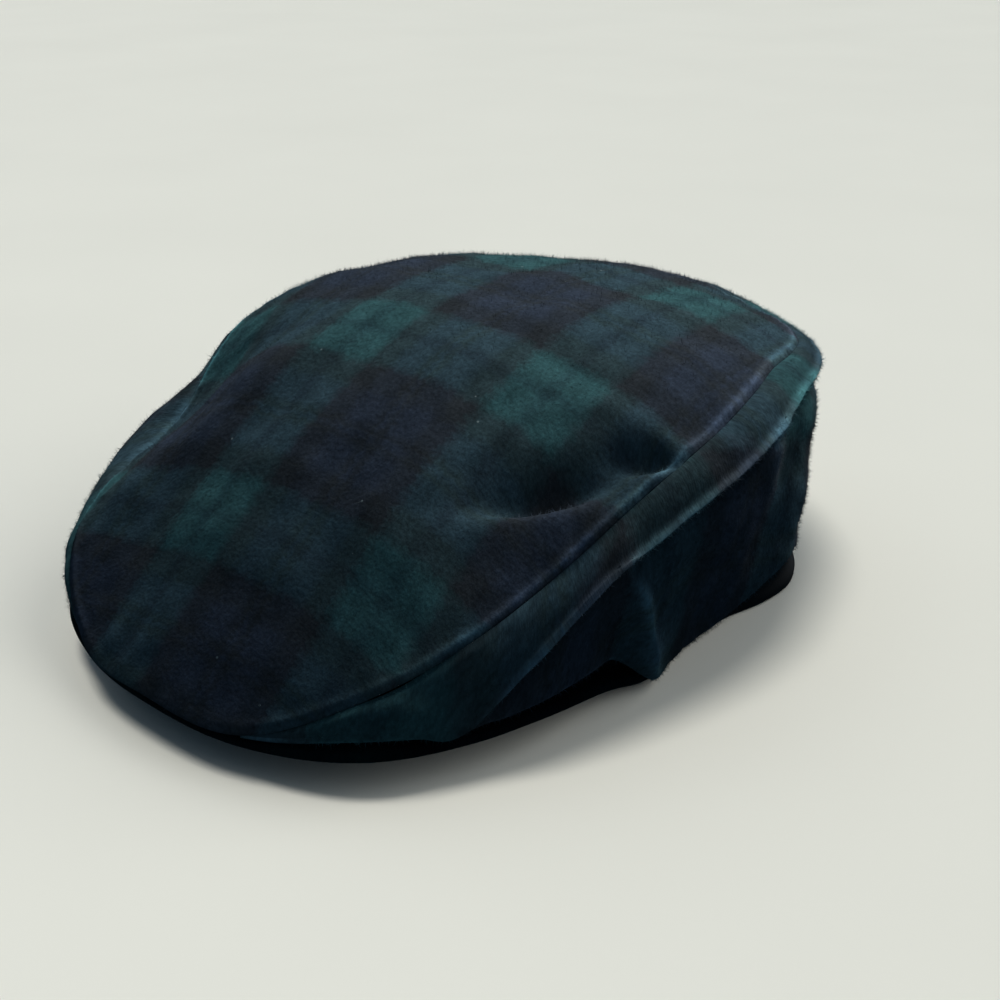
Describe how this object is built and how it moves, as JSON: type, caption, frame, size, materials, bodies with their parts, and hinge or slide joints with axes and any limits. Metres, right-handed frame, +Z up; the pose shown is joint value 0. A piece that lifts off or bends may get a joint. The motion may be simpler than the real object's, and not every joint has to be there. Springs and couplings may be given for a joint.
{
  "type": "tartan driving cap",
  "caption": "Soft flat cap of dark green and navy tartan wool: a full crown drawn forward onto a short stiff peak, open below for the head.",
  "frame": {"origin": "on the table under the middle of the cap's bounding box", "axes": "+Z up, -Y towards the front of the peak, +X towards the wearer's left"},
  "size_m": [0.2078, 0.2684, 0.102],
  "materials": {
    "tartan_wool": "brushed wool tartan in green, navy and black",
    "peak_cloth": "dark brushed wool over a stiff board",
    "band_cotton": "smooth black cotton"
  },
  "bodies": {
    "root": {"top_panel": "tartan_wool", "side_panel_left": "tartan_wool", "side_panel_right": "tartan_wool", "peak": "peak_cloth", "sweatband": "band_cotton"}
  },
  "joints": []
}
